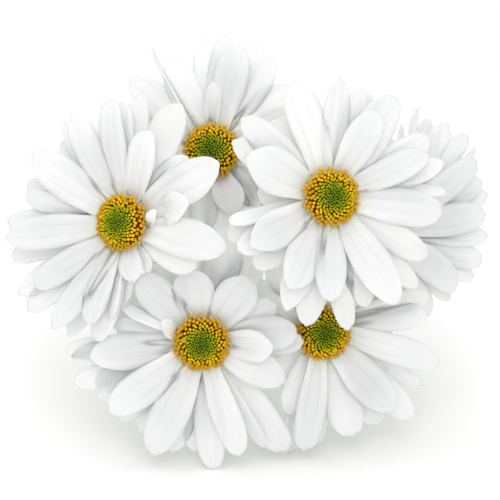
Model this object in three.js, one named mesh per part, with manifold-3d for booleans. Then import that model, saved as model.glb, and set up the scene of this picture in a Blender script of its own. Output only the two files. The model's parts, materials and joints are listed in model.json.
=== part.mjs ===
// A bunch of white daisies: one cut spray with six flower heads, lying on its lower petals, two low
// leaves and the cut end of its stem.
// Millimetres, +Z up. The flowers look towards -Y, and the stem runs back to +Y.
// The origin is the middle of the bunch's outline on the surface that it lies on.

import * as THREE from 'three';
import { mergeVertices } from 'three/addons/utils/BufferGeometryUtils.js';
import Module from 'manifold-3d';

const wasm = await Module();
wasm.setup();

// ---- driving dimensions ----------------------------------------------------------------------

const LYING_TILT = THREE.MathUtils.degToRad(20);      // how far the flowers look up from the surface
const EYE_DISTANCE = 800;                             // the flowers' places are given as seen from here
const MIDDLE = new THREE.Vector3(0, -66, 62.4);       // the middle of the six flowers
const SEAT_GAP = 0.3;                                 // between two pieces that grow on each other

const PETAL_THICKNESS = 0.5;
const PETAL_BASE_RADIUS = 5.6;                        // where the petals leave the flower's base
const PETAL_ROW_DROP = [0.3, 1.3, 2.3];               // each row starts further back than the one before
const PETAL_ROW_RISE = [19, 13, 7].map(THREE.MathUtils.degToRad);
const PETAL_ROW_ARCH = [2, 1.5, 1];                   // the arch of a petal's outer half, in mm
const PETAL_KNEES = [0.34, 0.7];                      // where its midline's two handles lie, along its reach
const PETAL_STATIONS = [0, 0.3, 0.68, 1];             // the rows of points along a petal
const PETAL_CLAW_WIDTH = 0.24;                        // its narrow base, as a share of its width
const PETAL_FULL_WIDTH_AT = 0.55;                     // where it is full width, along its length
const PETAL_FULL_ROLL_AT = 0.6;                       // where it has its full roll
const PETAL_BASE_ROLL = 0.15;                         // the share of its roll that it has at its base
const PETAL_CHANNEL = [1.1, 0.15];                    // how much its sides curl up, at base and tip
const PETAL_TIP_ROUND = 0.15;                         // how far its edges stop short of its tip
const DISC_PROFILE = [[0, 0.5], [4.9, 0.5], [7.3, 2.2], [7.9, 3.1], [5.6, 5.2], [0, 6.1]];
const BASE_PROFILE = [[0, -2.8], [6.2, -2.8], [6.2, 0.15], [0, 0.15]];
const CUP_PROFILE = [[0, -8.4], [1.7, -8.4], [4.5, -7], [6.1, -5.1], [6.6, -3.1], [0, -3.1]];
const CUP_DEPTH = 8.4;

const STALK_RADIUS = 1.3;
const STALK_STEPS = 8;
const STALK_HANDLES = [0.36, 0.34];                   // how straight it leaves the flower and the stem
const STALK_SPREAD = 0.22;                            // how far it leans out where it leaves the stem's side
const STEM_RADIUS = 2.2;
const STEM_STEPS = 14;
const STEM_ROUTE = [[7.5, -19, 51], [4.5, 6, 39.5], [0.5, 34, 26], [-2.5, 62, 13.5], [-3.5, 88, 2.1]];

const LEAF_THICKNESS = 0.6;
const LEAF_START = [0.24, 0.14];                      // how far its foot reaches out, and up the stem
const LEAF_KNEE = 0.62;                               // where its midrib is highest
const LEAF_ARCH = 0.13;                               // how high it arches there, as a share of its length
const LOW_LEAF_KNEE_HEIGHT = 2.2;                     // a low leaf's midrib over the surface there
const LEAF_SIDES_RAISED = 0.12;                       // how far its edges stand up, as a share of half
// Its outline from foot to tip: [share of its length, share of its half width], with three lobes a side.
const LEAF_OUTLINE = [[0, 0.07], [0.16, 0.07], [0.28, 0.62], [0.38, 0.5], [0.5, 1], [0.6, 0.72], [0.74, 0.86],
  [0.84, 0.42], [1, 0.1]];
// on: share of the stem's length; around: the side it grows on, in degrees clockwise from the top, as the
// flowers' viewer sees it; the tip's place is given from the leaf's foot; low leaves end on the surface.
const LEAVES = [
  { name: 'leaf_upper_left', on: 0.10, around: -70, tip: [-34, -14, 16], width: 17 },
  { name: 'leaf_upper_right', on: 0.17, around: 75, tip: [38, -12, 6], width: 19 },
  { name: 'leaf_middle_left', on: 0.36, around: -80, tip: [-46, -16, 3], width: 23 },
  { name: 'leaf_top', on: 0.50, around: 10, tip: [6, -27, 27], width: 21 },
  { name: 'leaf_low_right', on: 0.58, around: 100, tip: [39, -13, null], width: 25 },
  { name: 'leaf_low_left', on: 0.70, around: -105, tip: [-44, -22, null], width: 25 },
];

// Each flower: its disc's middle and the way it faces, then its petals. right, up and forward are seen from
// the front, in mm from the middle of the bunch; the turns are in degrees.
// A petal is [tip right, tip up, width, how far its tip stands in front of the flower's plane, row from the
// front, roll in degrees, sideways bend in degrees]; the last two may be left out.
const FLOWERS = [
  {
    name: 'left_daisy', right: -34.5, up: 7.5, forward: 6, turnedRight: -30, turnedUp: 2, joinsStemAt: 0.2,
    petals: [
      [-69, 3.5, 10, 2, 0], [-68, 8, 8, -1, 1, 8], [-63.5, 15.5, 6.5, 1, 1, -10],
      [-62.5, 18.5, 7, -3, 2, -5], [-61, 27, 11.5, 3, 0], [-53, 30.5, 7, -3, 2], [-51.5, 36, 8, 0, 1, 8],
      [-49.5, 37.5, 8.5, 2, 0, 5], [-43.5, 42.5, 5, -1, 1, 35], [-39, 42.5, 8, 1, 0],
      [-36, 41.5, 8, -1, 1], [-31, 43.5, 8, -4, 2], [-28.5, 33.5, 9.5, 5, 0], [-19.5, 41, 11, 0, 1],
      [-17.5, 26, 9, 1, 1], [-8.5, 24.5, 12, 2, 0], [-17.5, 13.5, 9, 5.5, 1], [-6.5, 0.5, 11.5, -1, 0, 8],
      [-15, -5, 10, -3, 1, 10], [-28, -6, 5.5, -2, 1, 20], [-32.5, -8.5, 7.5, 0, 0, -10],
      [-26.2, 11, 3, 4, 0, 40, -20], [-24, -2, 8, -5, 2], [-37, -17, 8.5, -5, 2],
      [-42.5, -25.5, 9, -3, 2], [-45.5, -21, 8, 1, 0], [-39, -19, 5.5, -1, 1, 20],
      [-55, -22, 9, 0, 0, 5, 8], [-50.5, -24, 8, -4, 2], [-62.5, -17, 9, -3, 1],
      [-60.5, -10, 8.5, 1, 0, 0, 6], [-64.5, -12.5, 8.5, -3, 2], [-66.5, -2, 7.5, -5, 2],
    ],
  },
  {
    name: 'top_daisy', right: -10.6, up: 27.2, forward: -6, turnedRight: -5, turnedUp: 8, joinsStemAt: 0.06,
    petals: [
      [-13, 59.5, 8, -2, 2], [-7, 60, 7.5, -1, 1], [-3, 57, 10, 1, 0], [2, 59, 8, -4, 2],
      [6.5, 54.5, 9.5, -1, 1], [12, 46, 10, -2, 1], [11.5, 39, 8.5, 0, 0], [15, 32, 8.5, -3, 2],
      [14, 24, 8.5, -4, 1], [10, 14, 9, -5, 2], [2.5, 10.5, 9.5, -4, 1], [1, 12.5, 8, -3, 1, 10],
      [-4, 10, 9, 0, 0], [-8.5, 3.5, 8.5, -3, 2], [-14, 4, 8, -3, 1], [-22.5, 6, 8.5, -5, 2],
      [-30, 12.5, 8.5, -8, 1], [-35.5, 20.5, 8.5, -8, 2], [-34.5, 31, 8.5, -5, 1],
      [-33.5, 48, 9.5, -1, 1], [-34, 40, 8.5, -5, 2], [-28, 56, 4.5, 1, 0, 78], [-22.5, 54, 9.5, 1, 0],
      [-10.5, 47, 5, 5, 0],
    ],
  },
  {
    name: 'middle_daisy', right: 21.9, up: 14.7, forward: 14, turnedRight: 16, turnedUp: 2, joinsStemAt: 0,
    petals: [
      [12.5, 47.5, 11, 1, 0], [6, 36, 9, -4, 2], [25, 48.5, 9, 1, 1, 15], [31, 45.5, 8.5, -1, 2],
      [35.5, 39, 10, 4, 0], [34, 43.5, 7, -4, 2], [41, 43, 11.5, 0, 1], [50.5, 31.5, 8.5, -1, 2],
      [50.5, 27, 8.5, 1, 0, -10], [54, 24.5, 7.5, -2, 1, -20], [55.5, 17, 5.5, -1, 1, -35],
      [54.5, 13, 7, -3, 2], [54, 10.5, 10.5, 1, 0], [50, -2, 8.5, 0, 1, 10], [47, -10.5, 7.5, -2, 2],
      [41, -15, 11, 1, 0], [27.5, -22.5, 7.5, -4, 2], [33, -16, 8, -4, 2], [22.5, -14.5, 9.5, 2, 0],
      [16, -21.5, 10, -4, 2], [11, -11, 11, 2, 0], [10, -17, 9.5, -2, 1], [1.5, -5, 9.5, -3, 2],
      [0, 1, 11, 3, 0], [-3.5, 0, 8.5, 0, 1], [-6.5, 3.5, 7, -2, 2], [-6, 8, 5, 1, 1, 40],
      [2, 16, 10, -3, 2], [-1, 26, 13, 4, 0], [-5, 30.5, 8, -1, 2], [-2.5, 37, 9, 0, 1, -20],
    ],
  },
  {
    name: 'lower_daisy', right: -13.3, up: -25.2, forward: -2, turnedRight: -2, turnedUp: -14,
    joinsStemAt: 0.42,
    petals: [
      [-17, -5.5, 12, 2, 0], [0.5, -7.5, 12, 2, 0], [7.5, -15, 9, -1, 1], [13, -22.5, 10.5, 1, 1],
      [15, -25.5, 8, -1, 2], [6.5, -27.5, 9.5, 4, 0], [10, -37, 10.5, 1, 0], [10.5, -56.5, 10, -4, 2],
      [4, -55.5, 4.5, -2, 1, 20], [-3, -57.5, 8.5, 1, 0, 5], [-10, -61.5, 9, 0, 1],
      [-15.5, -56.5, 8.5, -2, 2], [-27.5, -57.5, 11, 2, 0], [-22, -56.5, 8.5, -2, 1],
      [-31, -51, 8, -4, 2], [-39, -45.5, 10.5, 2, 0], [-36.5, -48, 8, -5, 2], [-42.5, -41.5, 8, -5, 1],
      [-43.5, -38, 8.5, -3, 2], [-45, -30, 11, 0, 1], [-49.5, -37.5, 7.5, -6, 2], [-51.5, -28, 7, -6, 2],
      [-50, -30, 7, -5, 1], [-38, -21, 8.5, -1, 1], [-36, -15.5, 4.5, 0, 0, 45],
      [-24.8, -19.8, 4.5, 4, 0, 40, 20], [-31, -7, 11, 1, 0], [-38.5, -10.5, 9, -7, 2],
      [-42, -17, 8, -7, 2], [-27.5, -3.5, 9.5, -2, 1], [-12, -1, 9, -6, 2], [-5, 7, 11, -5, 2],
      [2.5, 0.5, 10.5, -5, 2],
    ],
  },
  {
    name: 'corner_daisy', right: 20, up: -22.5, forward: -9, turnedRight: 12, turnedUp: -12,
    joinsStemAt: 0.31,
    petals: [
      [53, -32, 9, 1, 0, 0, 7], [49.5, -18, 8, 2, 1, -20, 8], [41, -21.5, 8, -5, 2],
      [48, -38, 5.5, -3, 2, 20], [45.5, -47, 9, -1, 1], [40, -45, 11.5, 2, 0], [36.5, -48.5, 9.5, -3, 2],
      [29, -52.5, 11, 0, 1], [15, -56.5, 8.5, 1, 0, 10], [17.5, -54.5, 8.5, -2, 2],
      [11, -57, 8.5, -6.4, 2], [10.5, -46.5, 9.5, 0, 1], [3.5, -38, 9, -3, 2], [-3, -28.5, 8.5, -5, 1],
      [-4, -19, 8.5, -5, 2], [-1.5, -8.5, 8.5, -4, 1], [5, -2, 8.5, -1, 2], [14, 1.5, 8.5, -4, 1],
      [24, 3, 8.5, -5, 2], [35, -3.5, 8.5, -2, 1], [42.5, -12.5, 8.5, -3, 2], [50, -12.5, 8, 0, 1],
    ],
  },
  {
    name: 'right_daisy', right: 36, up: 5.5, forward: -17, turnedRight: 38, turnedUp: 0, joinsStemAt: 0.13,
    petals: [
      [47, 40.5, 4.5, 1, 0, 70], [43, 35.5, 5, -1, 1, 20], [39, 31.5, 5.5, -3, 2], [50, 36.5, 6, -3, 2],
      [55, 35, 8, 0, 1], [54, 33, 5, 3, 0, 50], [61, 32, 7.5, -1, 1], [64, 28, 4.5, -4, 2, 40],
      [64, 25, 9, 1, 0], [65, 19, 8.5, -2, 1], [66, 15.5, 8, -4, 2], [65.5, 10, 9.5, 0, 0],
      [66, 4, 7.5, -1, 1, -20], [64.5, -3, 8, -1, 1], [62.5, -7.5, 7.5, -2, 2], [58.5, -10.5, 10.5, 1, 0],
      [56.5, -13.5, 6, -4, 2], [51, -18.5, 8, -2, 1], [43.5, -15, 8.5, -3, 2], [35, -13.5, 8.5, -4, 1],
      [28, -11, 8, -4, 2], [22, -5.5, 8, -5, 1], [18.5, 2, 8, -6, 2], [24, 11.5, 7.5, -6, 1],
      [19, 20.5, 7.5, -6, 2], [23, 26.5, 8, -5, 1], [29, 30.5, 7.5, -4, 2], [34.5, 32, 7, -3, 1],
    ],
  },
];

const COLOURS = {
  petals: 0xf3f3ee,
  disc: 0xb39a08,
  bracts: 0x5f7a34,
  stalk: 0x6f8a45,
  stem: 0x66803d,
  leaf: 0x3f6230,
};

// ---- solids ----------------------------------------------------------------------------------

const material = (color, roughness) => new THREE.MeshStandardMaterial({ color, roughness, metalness: 0 });

function toSolid(geometry) {
  const bare = geometry.clone();
  bare.deleteAttribute('normal');
  bare.deleteAttribute('uv');
  const merged = mergeVertices(bare, 1e-4);
  return new wasm.Manifold(new wasm.Mesh({
    numProp: 3,
    vertProperties: new Float32Array(merged.attributes.position.array),
    triVerts: new Uint32Array(merged.index.array),
  }));
}

function toGeometry(solid) {
  const mesh = solid.getMesh();
  const geometry = new THREE.BufferGeometry();
  geometry.setAttribute('position', new THREE.BufferAttribute(new Float32Array(mesh.vertProperties), 3));
  geometry.setIndex(new THREE.BufferAttribute(new Uint32Array(mesh.triVerts), 1));
  geometry.computeVertexNormals();
  return geometry;
}

// The outer shell of a solid, with any small pocket that its joined pieces enclose filled.
function outerShell(solid) {
  return solid.decompose().reduce((largest, shell) => (shell.volume() > largest.volume() ? shell : largest));
}

// A blade: rows of points across it, each with its normal, thickened half to each side and closed at the rim.
function bladeGeometry(rows, thickness) {
  const across = rows[0].length;
  const count = rows.length * across;
  const points = [];
  for (const side of [0.5, -0.5]) {
    for (const row of rows) {
      for (const { point, normal } of row) {
        points.push(...point.clone().addScaledVector(normal, side * thickness).toArray());
      }
    }
  }
  const faces = [];
  for (let i = 0; i < rows.length - 1; i++) {
    for (let j = 0; j < across - 1; j++) {
      const a = i * across + j;
      const [b, c, d] = [a + 1, a + across, a + across + 1];
      faces.push(a, b, c, b, d, c);
      faces.push(count + a, count + c, count + b, count + b, count + c, count + d);
    }
  }
  const rim = [];
  for (let j = 0; j < across; j++) rim.push(j);
  for (let i = 1; i < rows.length; i++) rim.push(i * across + across - 1);
  for (let j = across - 2; j >= 0; j--) rim.push((rows.length - 1) * across + j);
  for (let i = rows.length - 2; i > 0; i--) rim.push(i * across);
  rim.forEach((a, k) => {
    const b = rim[(k + 1) % rim.length];
    faces.push(b, a, count + a, b, count + a, count + b);
  });
  const geometry = new THREE.BufferGeometry();
  geometry.setAttribute('position', new THREE.Float32BufferAttribute(points, 3));
  geometry.setIndex(faces);
  return geometry;
}

function tubeGeometry(curve, radius, steps) {
  const section = new THREE.Shape().absarc(0, 0, radius, 0, 2 * Math.PI, false);
  const options = { steps, extrudePath: curve, bevelEnabled: false, curveSegments: 4 };
  return new THREE.ExtrudeGeometry(section, options);
}

function turnedGeometry(profile, segments) {
  const outline = profile.map(([radius, height]) => new THREE.Vector2(radius, height));
  return new THREE.LatheGeometry(outline, segments).rotateX(Math.PI / 2);
}

// ---- places ----------------------------------------------------------------------------------

const RIGHT = new THREE.Vector3(1, 0, 0);
const UP = new THREE.Vector3(0, Math.sin(LYING_TILT), Math.cos(LYING_TILT));
const FORWARD = new THREE.Vector3(0, -Math.cos(LYING_TILT), Math.sin(LYING_TILT));
const Z_AXIS = new THREE.Vector3(0, 0, 1);
const smooth = (share) => share * share * (3 - 2 * share);
const clampShare = (value) => THREE.MathUtils.clamp(value, 0, 1);

function along(start, ...steps) {
  const point = start.clone();
  for (const [direction, amount] of steps) point.addScaledVector(direction, amount);
  return point;
}

// A place seen from the eye: nearer places are drawn in towards the line of sight.
function seen(right, up, forward) {
  const shrink = 1 - forward / EYE_DISTANCE;
  return along(MIDDLE, [RIGHT, right * shrink], [UP, up * shrink], [FORWARD, forward]);
}

// The place on the sight line of (right, up) that is `lift` in front of the plane through centre.
function seenOnPlane(right, up, centre, normal, lift) {
  const near = seen(right, up, 0);
  const step = seen(right, up, 1).sub(near);
  const forward = (lift - near.clone().sub(centre).dot(normal)) / step.dot(normal);
  return near.addScaledVector(step, forward);
}

function facing(flower) {
  const [a, b] = [flower.turnedRight, flower.turnedUp].map(THREE.MathUtils.degToRad);
  return along(new THREE.Vector3(), [RIGHT, Math.sin(a) * Math.cos(b)], [UP, Math.sin(b)],
    [FORWARD, Math.cos(a) * Math.cos(b)]);
}

const stemCurve = new THREE.CatmullRomCurve3(STEM_ROUTE.map((p) => new THREE.Vector3(...p)));

// ---- pieces ----------------------------------------------------------------------------------

// A petal's midline leaves the flower's base, rises, arches and ends at its tip; its blade is as wide as
// its claw at the base and full width from PETAL_FULL_WIDTH_AT on, with a channel along it.
function petalGeometry(centre, normal, [right, up, width, lift, row, roll = 0, bend = 0]) {
  const tip = seenOnPlane(right, up, centre, normal, lift);
  const out = tip.clone().sub(centre).projectOnPlane(normal).normalize();
  out.applyAxisAngle(normal, THREE.MathUtils.degToRad(bend));
  const start = along(centre, [out, PETAL_BASE_RADIUS], [normal, -PETAL_ROW_DROP[row]]);
  const handle = PETAL_KNEES[0] * tip.distanceTo(start);
  const rise = PETAL_ROW_RISE[row];
  const midline = new THREE.CubicBezierCurve3(
    start,
    along(start, [out, handle * Math.cos(rise)], [normal, handle * Math.sin(rise)]),
    start.clone().lerp(tip, PETAL_KNEES[1]).addScaledVector(normal, PETAL_ROW_ARCH[row]),
    tip,
  );
  const rows = PETAL_STATIONS.map((station) => [-1, 0, 1].map((side) => {
    const t = station * (1 - PETAL_TIP_ROUND * Math.abs(side));
    const tangent = midline.getTangent(t);
    const face = normal.clone().projectOnPlane(tangent).normalize();
    const rolled = THREE.MathUtils.lerp(PETAL_BASE_ROLL, 1, clampShare(t / PETAL_FULL_ROLL_AT));
    face.applyAxisAngle(tangent, THREE.MathUtils.degToRad(roll) * rolled);
    const sideways = tangent.clone().cross(face);
    const full = smooth(clampShare(t / PETAL_FULL_WIDTH_AT));
    const half = width / 2 * THREE.MathUtils.lerp(PETAL_CLAW_WIDTH, 1, full);
    const curl = THREE.MathUtils.lerp(...PETAL_CHANNEL, clampShare(t / PETAL_FULL_WIDTH_AT));
    const point = along(midline.getPoint(t), [sideways, half * Math.sin(curl * side) / curl],
      [face, half * (1 - Math.cos(curl * side)) / curl]);
    return { point, normal: face };
  }));
  return bladeGeometry(rows, PETAL_THICKNESS);
}

function makeFlower(flower) {
  const group = new THREE.Group();
  const centre = seen(flower.right, flower.up, flower.forward);
  const normal = facing(flower);
  const turn = new THREE.Quaternion().setFromUnitVectors(Z_AXIS, normal);
  const place = (mesh) => {
    mesh.position.copy(centre);
    mesh.quaternion.copy(turn);
    return mesh;
  };

  const disc = place(new THREE.Mesh(turnedGeometry(DISC_PROFILE, 16), material(COLOURS.disc, 0.8)));
  disc.name = `${flower.name}_disc`;

  const base = turnedGeometry(BASE_PROFILE, 16).applyQuaternion(turn).translate(...centre.toArray());
  const whorl = flower.petals.reduce(
    (solid, petal) => solid.add(toSolid(petalGeometry(centre, normal, petal))),
    toSolid(base),
  );
  const petals = new THREE.Mesh(toGeometry(outerShell(whorl)), material(COLOURS.petals, 0.55));
  petals.name = `${flower.name}_petals`;

  const bracts = place(new THREE.Mesh(turnedGeometry(CUP_PROFILE, 12), material(COLOURS.bracts, 0.7)));
  bracts.name = `${flower.name}_bracts`;

  const top = along(centre, [normal, -CUP_DEPTH - SEAT_GAP]);
  const stalk = new THREE.Mesh(stalkGeometry(flower, top, normal), material(COLOURS.stalk, 0.6));
  stalk.name = `${flower.name}_stalk`;

  group.add(disc, petals, bracts, stalk);
  return group;
}

// The stem, thicker by twice the seat gap, as its flat sides come that much closer: stalks are cut to this.
const stemClearance = toSolid(tubeGeometry(stemCurve, STEM_RADIUS + 2 * SEAT_GAP, STEM_STEPS));

// The middle flower's stalk carries on the stem; the others leave its side at an acute angle.
function stalkGeometry(flower, top, normal) {
  const foot = stemCurve.getPointAt(flower.joinsStemAt);
  const stemward = stemCurve.getTangentAt(flower.joinsStemAt);
  if (flower.joinsStemAt === 0) foot.addScaledVector(stemward, -SEAT_GAP);
  const reach = foot.distanceTo(top);
  const outward = top.clone().sub(foot).projectOnPlane(stemward);
  const curve = new THREE.CubicBezierCurve3(
    top,
    along(top, [normal, -STALK_HANDLES[0] * reach]),
    along(foot, [stemward, -STALK_HANDLES[1] * reach], [outward, flower.joinsStemAt ? STALK_SPREAD : 0]),
    foot,
  );
  const tube = tubeGeometry(curve, STALK_RADIUS, STALK_STEPS);
  return flower.joinsStemAt === 0 ? tube : toGeometry(toSolid(tube).subtract(stemClearance));
}

// A leaf: a petiole that widens into a lobed blade on an arched midrib, its sides a little raised.
function makeLeaf({ name, on, around, tip: reach, width }) {
  const stemward = stemCurve.getTangentAt(on);
  const angle = THREE.MathUtils.degToRad(around);
  const outward = along(new THREE.Vector3(), [RIGHT, Math.sin(angle)], [UP, Math.cos(angle)])
    .projectOnPlane(stemward).normalize();
  const foot = stemCurve.getPointAt(on).addScaledVector(outward, STEM_RADIUS + 2 * SEAT_GAP);
  const low = reach[2] === null;
  const tip = new THREE.Vector3(foot.x + reach[0], foot.y + reach[1],
    low ? LEAF_THICKNESS / 2 : foot.z + reach[2]);
  const length = tip.distanceTo(foot);
  const knee = foot.clone().lerp(tip, LEAF_KNEE);
  knee.z = low ? LOW_LEAF_KNEE_HEIGHT : knee.z + LEAF_ARCH * length;
  const midrib = new THREE.CubicBezierCurve3(
    foot,
    along(foot, [outward, LEAF_START[0] * length], [stemward, -LEAF_START[1] * length]),
    knee,
    tip,
  );
  const rows = LEAF_OUTLINE.map(([t, share]) => [-1, 0, 1].map((side) => {
    const tangent = midrib.getTangent(t);
    const face = Z_AXIS.clone().projectOnPlane(tangent).normalize();
    const sideways = tangent.clone().cross(face);
    const half = width / 2 * share;
    const point = along(midrib.getPoint(t), [sideways, side * half],
      [face, LEAF_SIDES_RAISED * half * Math.abs(side)]);
    return { point, normal: face };
  }));
  const mesh = new THREE.Mesh(bladeGeometry(rows, LEAF_THICKNESS), material(COLOURS.leaf, 0.6));
  mesh.name = name;
  return mesh;
}

const bunch = new THREE.Group();
for (const flower of FLOWERS) bunch.add(makeFlower(flower));

const stem = new THREE.Mesh(tubeGeometry(stemCurve, STEM_RADIUS, STEM_STEPS), material(COLOURS.stem, 0.6));
stem.name = 'main_stem';
bunch.add(stem);
for (const leaf of LEAVES) bunch.add(makeLeaf(leaf));

export default bunch;
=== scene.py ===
"""A bunch of white daisies: one cut spray with six flower heads, lying on a pale table.

Sizes are in millimetres, +Z up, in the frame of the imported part, and each mesh is written in metres.
"""

import json
import math

import bpy
import numpy as np
from mathutils import Matrix

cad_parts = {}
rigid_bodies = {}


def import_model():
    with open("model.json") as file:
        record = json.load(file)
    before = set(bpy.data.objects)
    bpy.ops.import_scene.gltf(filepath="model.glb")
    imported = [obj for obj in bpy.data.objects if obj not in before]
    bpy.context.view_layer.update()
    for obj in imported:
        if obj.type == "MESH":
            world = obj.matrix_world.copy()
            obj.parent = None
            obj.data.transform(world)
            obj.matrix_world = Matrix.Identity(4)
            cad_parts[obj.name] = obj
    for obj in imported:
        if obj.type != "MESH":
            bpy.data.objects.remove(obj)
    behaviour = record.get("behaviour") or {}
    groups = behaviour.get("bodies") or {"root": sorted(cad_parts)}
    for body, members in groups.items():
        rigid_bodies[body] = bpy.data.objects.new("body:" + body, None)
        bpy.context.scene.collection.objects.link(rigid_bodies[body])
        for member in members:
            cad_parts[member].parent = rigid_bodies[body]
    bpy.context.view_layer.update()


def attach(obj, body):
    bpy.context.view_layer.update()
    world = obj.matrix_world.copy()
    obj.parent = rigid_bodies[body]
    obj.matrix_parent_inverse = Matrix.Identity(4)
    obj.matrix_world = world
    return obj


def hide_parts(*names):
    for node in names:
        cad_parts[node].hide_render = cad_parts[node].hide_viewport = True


for leftover in list(bpy.data.objects):
    bpy.data.objects.remove(leftover)
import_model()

# ---- driving dimensions, the part's own ----

MM = 0.001
LYING_TILT = math.radians(20)  # how far the flowers look up from the surface
EYE_DISTANCE = 800.0  # the flowers' places are given as seen from here
PICTURE_WIDTH = 140.0  # what the square picture takes in, across the middle of the bunch
SENSOR_WIDTH = 36.0
MIDDLE = np.array((0.0, -66.0, 62.4))  # the middle of the six flowers

PETAL_BASE_RADIUS = 5.6
PETAL_ROW_DROP = np.array((0.3, 1.3, 2.3))  # each row starts further back than the one before
PETAL_ROW_RISE = np.radians((19.0, 13.0, 7.0))
PETAL_ROW_ARCH = np.array((2.0, 1.5, 1.0))
PETAL_KNEES = (0.34, 0.7)
PETAL_CLAW_WIDTH = 0.62  # its narrow base, as a share of its width
PETAL_FULL_WIDTH_AT = 0.56
PETAL_FULL_ROLL_AT = 0.6
PETAL_BASE_ROLL = 0.15
PETAL_CHANNEL = (0.75, 0.12)  # how much its sides curl up, at base and tip

CUP_FOOT = (1.6, -8.4)  # radius and height of the green cup where the stalk meets it
CUP_RIM = (6.7, -2.9)
CUP_DEPTH = 8.4
SEAT_GAP = 0.3

STALK_RADIUS = 1.3
STALK_HANDLES = (0.36, 0.34)
STALK_SPREAD = 0.22
STEM_RADIUS = 2.2
STEM_ROUTE = np.array([(7.5, -19, 51), (4.5, 6, 39.5), (0.5, 34, 26), (-2.5, 62, 13.5), (-3.5, 88, 2.1)])
STEM_SAMPLES = 60

LEAF_THICKNESS = 0.6
LEAF_START = (0.24, 0.14)
LEAF_KNEE = 0.62
LEAF_ARCH = 0.13
LOW_LEAF_KNEE_HEIGHT = 2.2
LEAF_SIDES_RAISED = 0.12
# Each leaf: share of the stem's length, side in degrees clockwise from the top, tip from foot, width. A low
# leaf has no height for its tip, which lies on the table.
LEAVES = {
    "leaf_upper_left": (0.10, -70, (-34, -14, 16), 17),
    "leaf_upper_right": (0.17, 75, (38, -12, 6), 19),
    "leaf_middle_left": (0.36, -80, (-46, -16, 3), 23),
    "leaf_top": (0.50, 10, (6, -27, 27), 21),
    "leaf_low_right": (0.58, 100, (39, -13, None), 25),
    "leaf_low_left": (0.70, -105, (-44, -22, None), 25),
}

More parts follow.
